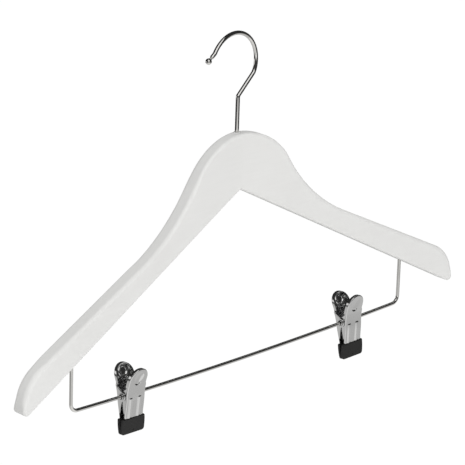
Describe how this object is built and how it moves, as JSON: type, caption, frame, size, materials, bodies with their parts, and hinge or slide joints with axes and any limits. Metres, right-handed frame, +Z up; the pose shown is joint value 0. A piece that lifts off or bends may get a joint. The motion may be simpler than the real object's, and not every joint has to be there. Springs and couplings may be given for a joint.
{
  "type": "clothes hanger with clips",
  "caption": "Curved white wooden clothes hanger with a swivelling wire hook and a wire bar under the arms that carries sliding sprung metal clips with rubber pads.",
  "frame": {"origin": "on the inside of the hook, straight above the stem, where the hanger sits on a rail", "axes": "+Z up, +X along the span to the right as seen from the front, the front faces -Y and the arms sweep forward towards -Y"},
  "size_m": [0.445, 0.0311, 0.2812],
  "materials": {
    "painted_wood": "white satin paint over wood",
    "chrome_wire": "bright chrome plate",
    "chrome_sheet": "bright chrome plate on pressed sheet",
    "plain_steel": "bare drawn steel",
    "black_rubber": "matt black rubber",
    "white_nylon": "matt white nylon"
  },
  "bodies": {
    "frame": {"left_arm": "painted_wood", "right_arm": "painted_wood", "hook_bush": "white_nylon", "hook_washer": "plain_steel", "trouser_bar": "chrome_wire"},
    "hook": {"swivel_hook": "chrome_wire", "hook_nut": "plain_steel"},
    "left_slider": {"left_pivot_tube": "chrome_sheet"},
    "left_rear": {"left_rear_jaw": "chrome_sheet", "left_rear_pad": "black_rubber", "left_torsion_spring": "plain_steel"},
    "left_front": {"left_front_jaw": "chrome_sheet", "left_front_pad": "black_rubber"},
    "right_slider": {"right_pivot_tube": "chrome_sheet"},
    "right_rear": {"right_rear_jaw": "chrome_sheet", "right_rear_pad": "black_rubber", "right_torsion_spring": "plain_steel"},
    "right_front": {"right_front_jaw": "chrome_sheet", "right_front_pad": "black_rubber"}
  },
  "joints": [
    {"name": "hook_swivel", "type": "hinge", "parent": "frame", "child": "hook", "pos_m": [0, 0, 0], "axis": [0, 0, 1], "continuous": true},
    {"name": "left_clip_slide", "type": "slide", "parent": "frame", "child": "left_slider", "axis": [1, 0, -0.0089], "range_m": [-0.0373, 0.0967]},
    {"name": "left_clip_swing", "type": "hinge", "parent": "left_slider", "child": "left_rear", "pos_m": [-0.1127, -0.01371, -0.24793], "axis": [1, 0, -0.0089], "continuous": true},
    {"name": "left_clip_open", "type": "hinge", "parent": "left_rear", "child": "left_front", "pos_m": [-0.1127, -0.01371, -0.24793], "axis": [-1, 0, 0.0089], "range_deg": [0, 30], "stiffness_Nm_per_rad": 0.12, "springref_deg": -68.75, "deforming": ["left_torsion_spring"]},
    {"name": "right_clip_slide", "type": "slide", "parent": "frame", "child": "right_slider", "axis": [0.9996, 0, 0.0265], "range_m": [-0.0992, 0.0348]},
    {"name": "right_clip_swing", "type": "hinge", "parent": "right_slider", "child": "right_rear", "pos_m": [0.1152, -0.01371, -0.24588], "axis": [0.9996, 0, 0.0265], "continuous": true},
    {"name": "right_clip_open", "type": "hinge", "parent": "right_rear", "child": "right_front", "pos_m": [0.1152, -0.01371, -0.24588], "axis": [-0.9996, 0, -0.0265], "range_deg": [0, 30], "stiffness_Nm_per_rad": 0.12, "springref_deg": -68.75, "deforming": ["right_torsion_spring"]}
  ]
}
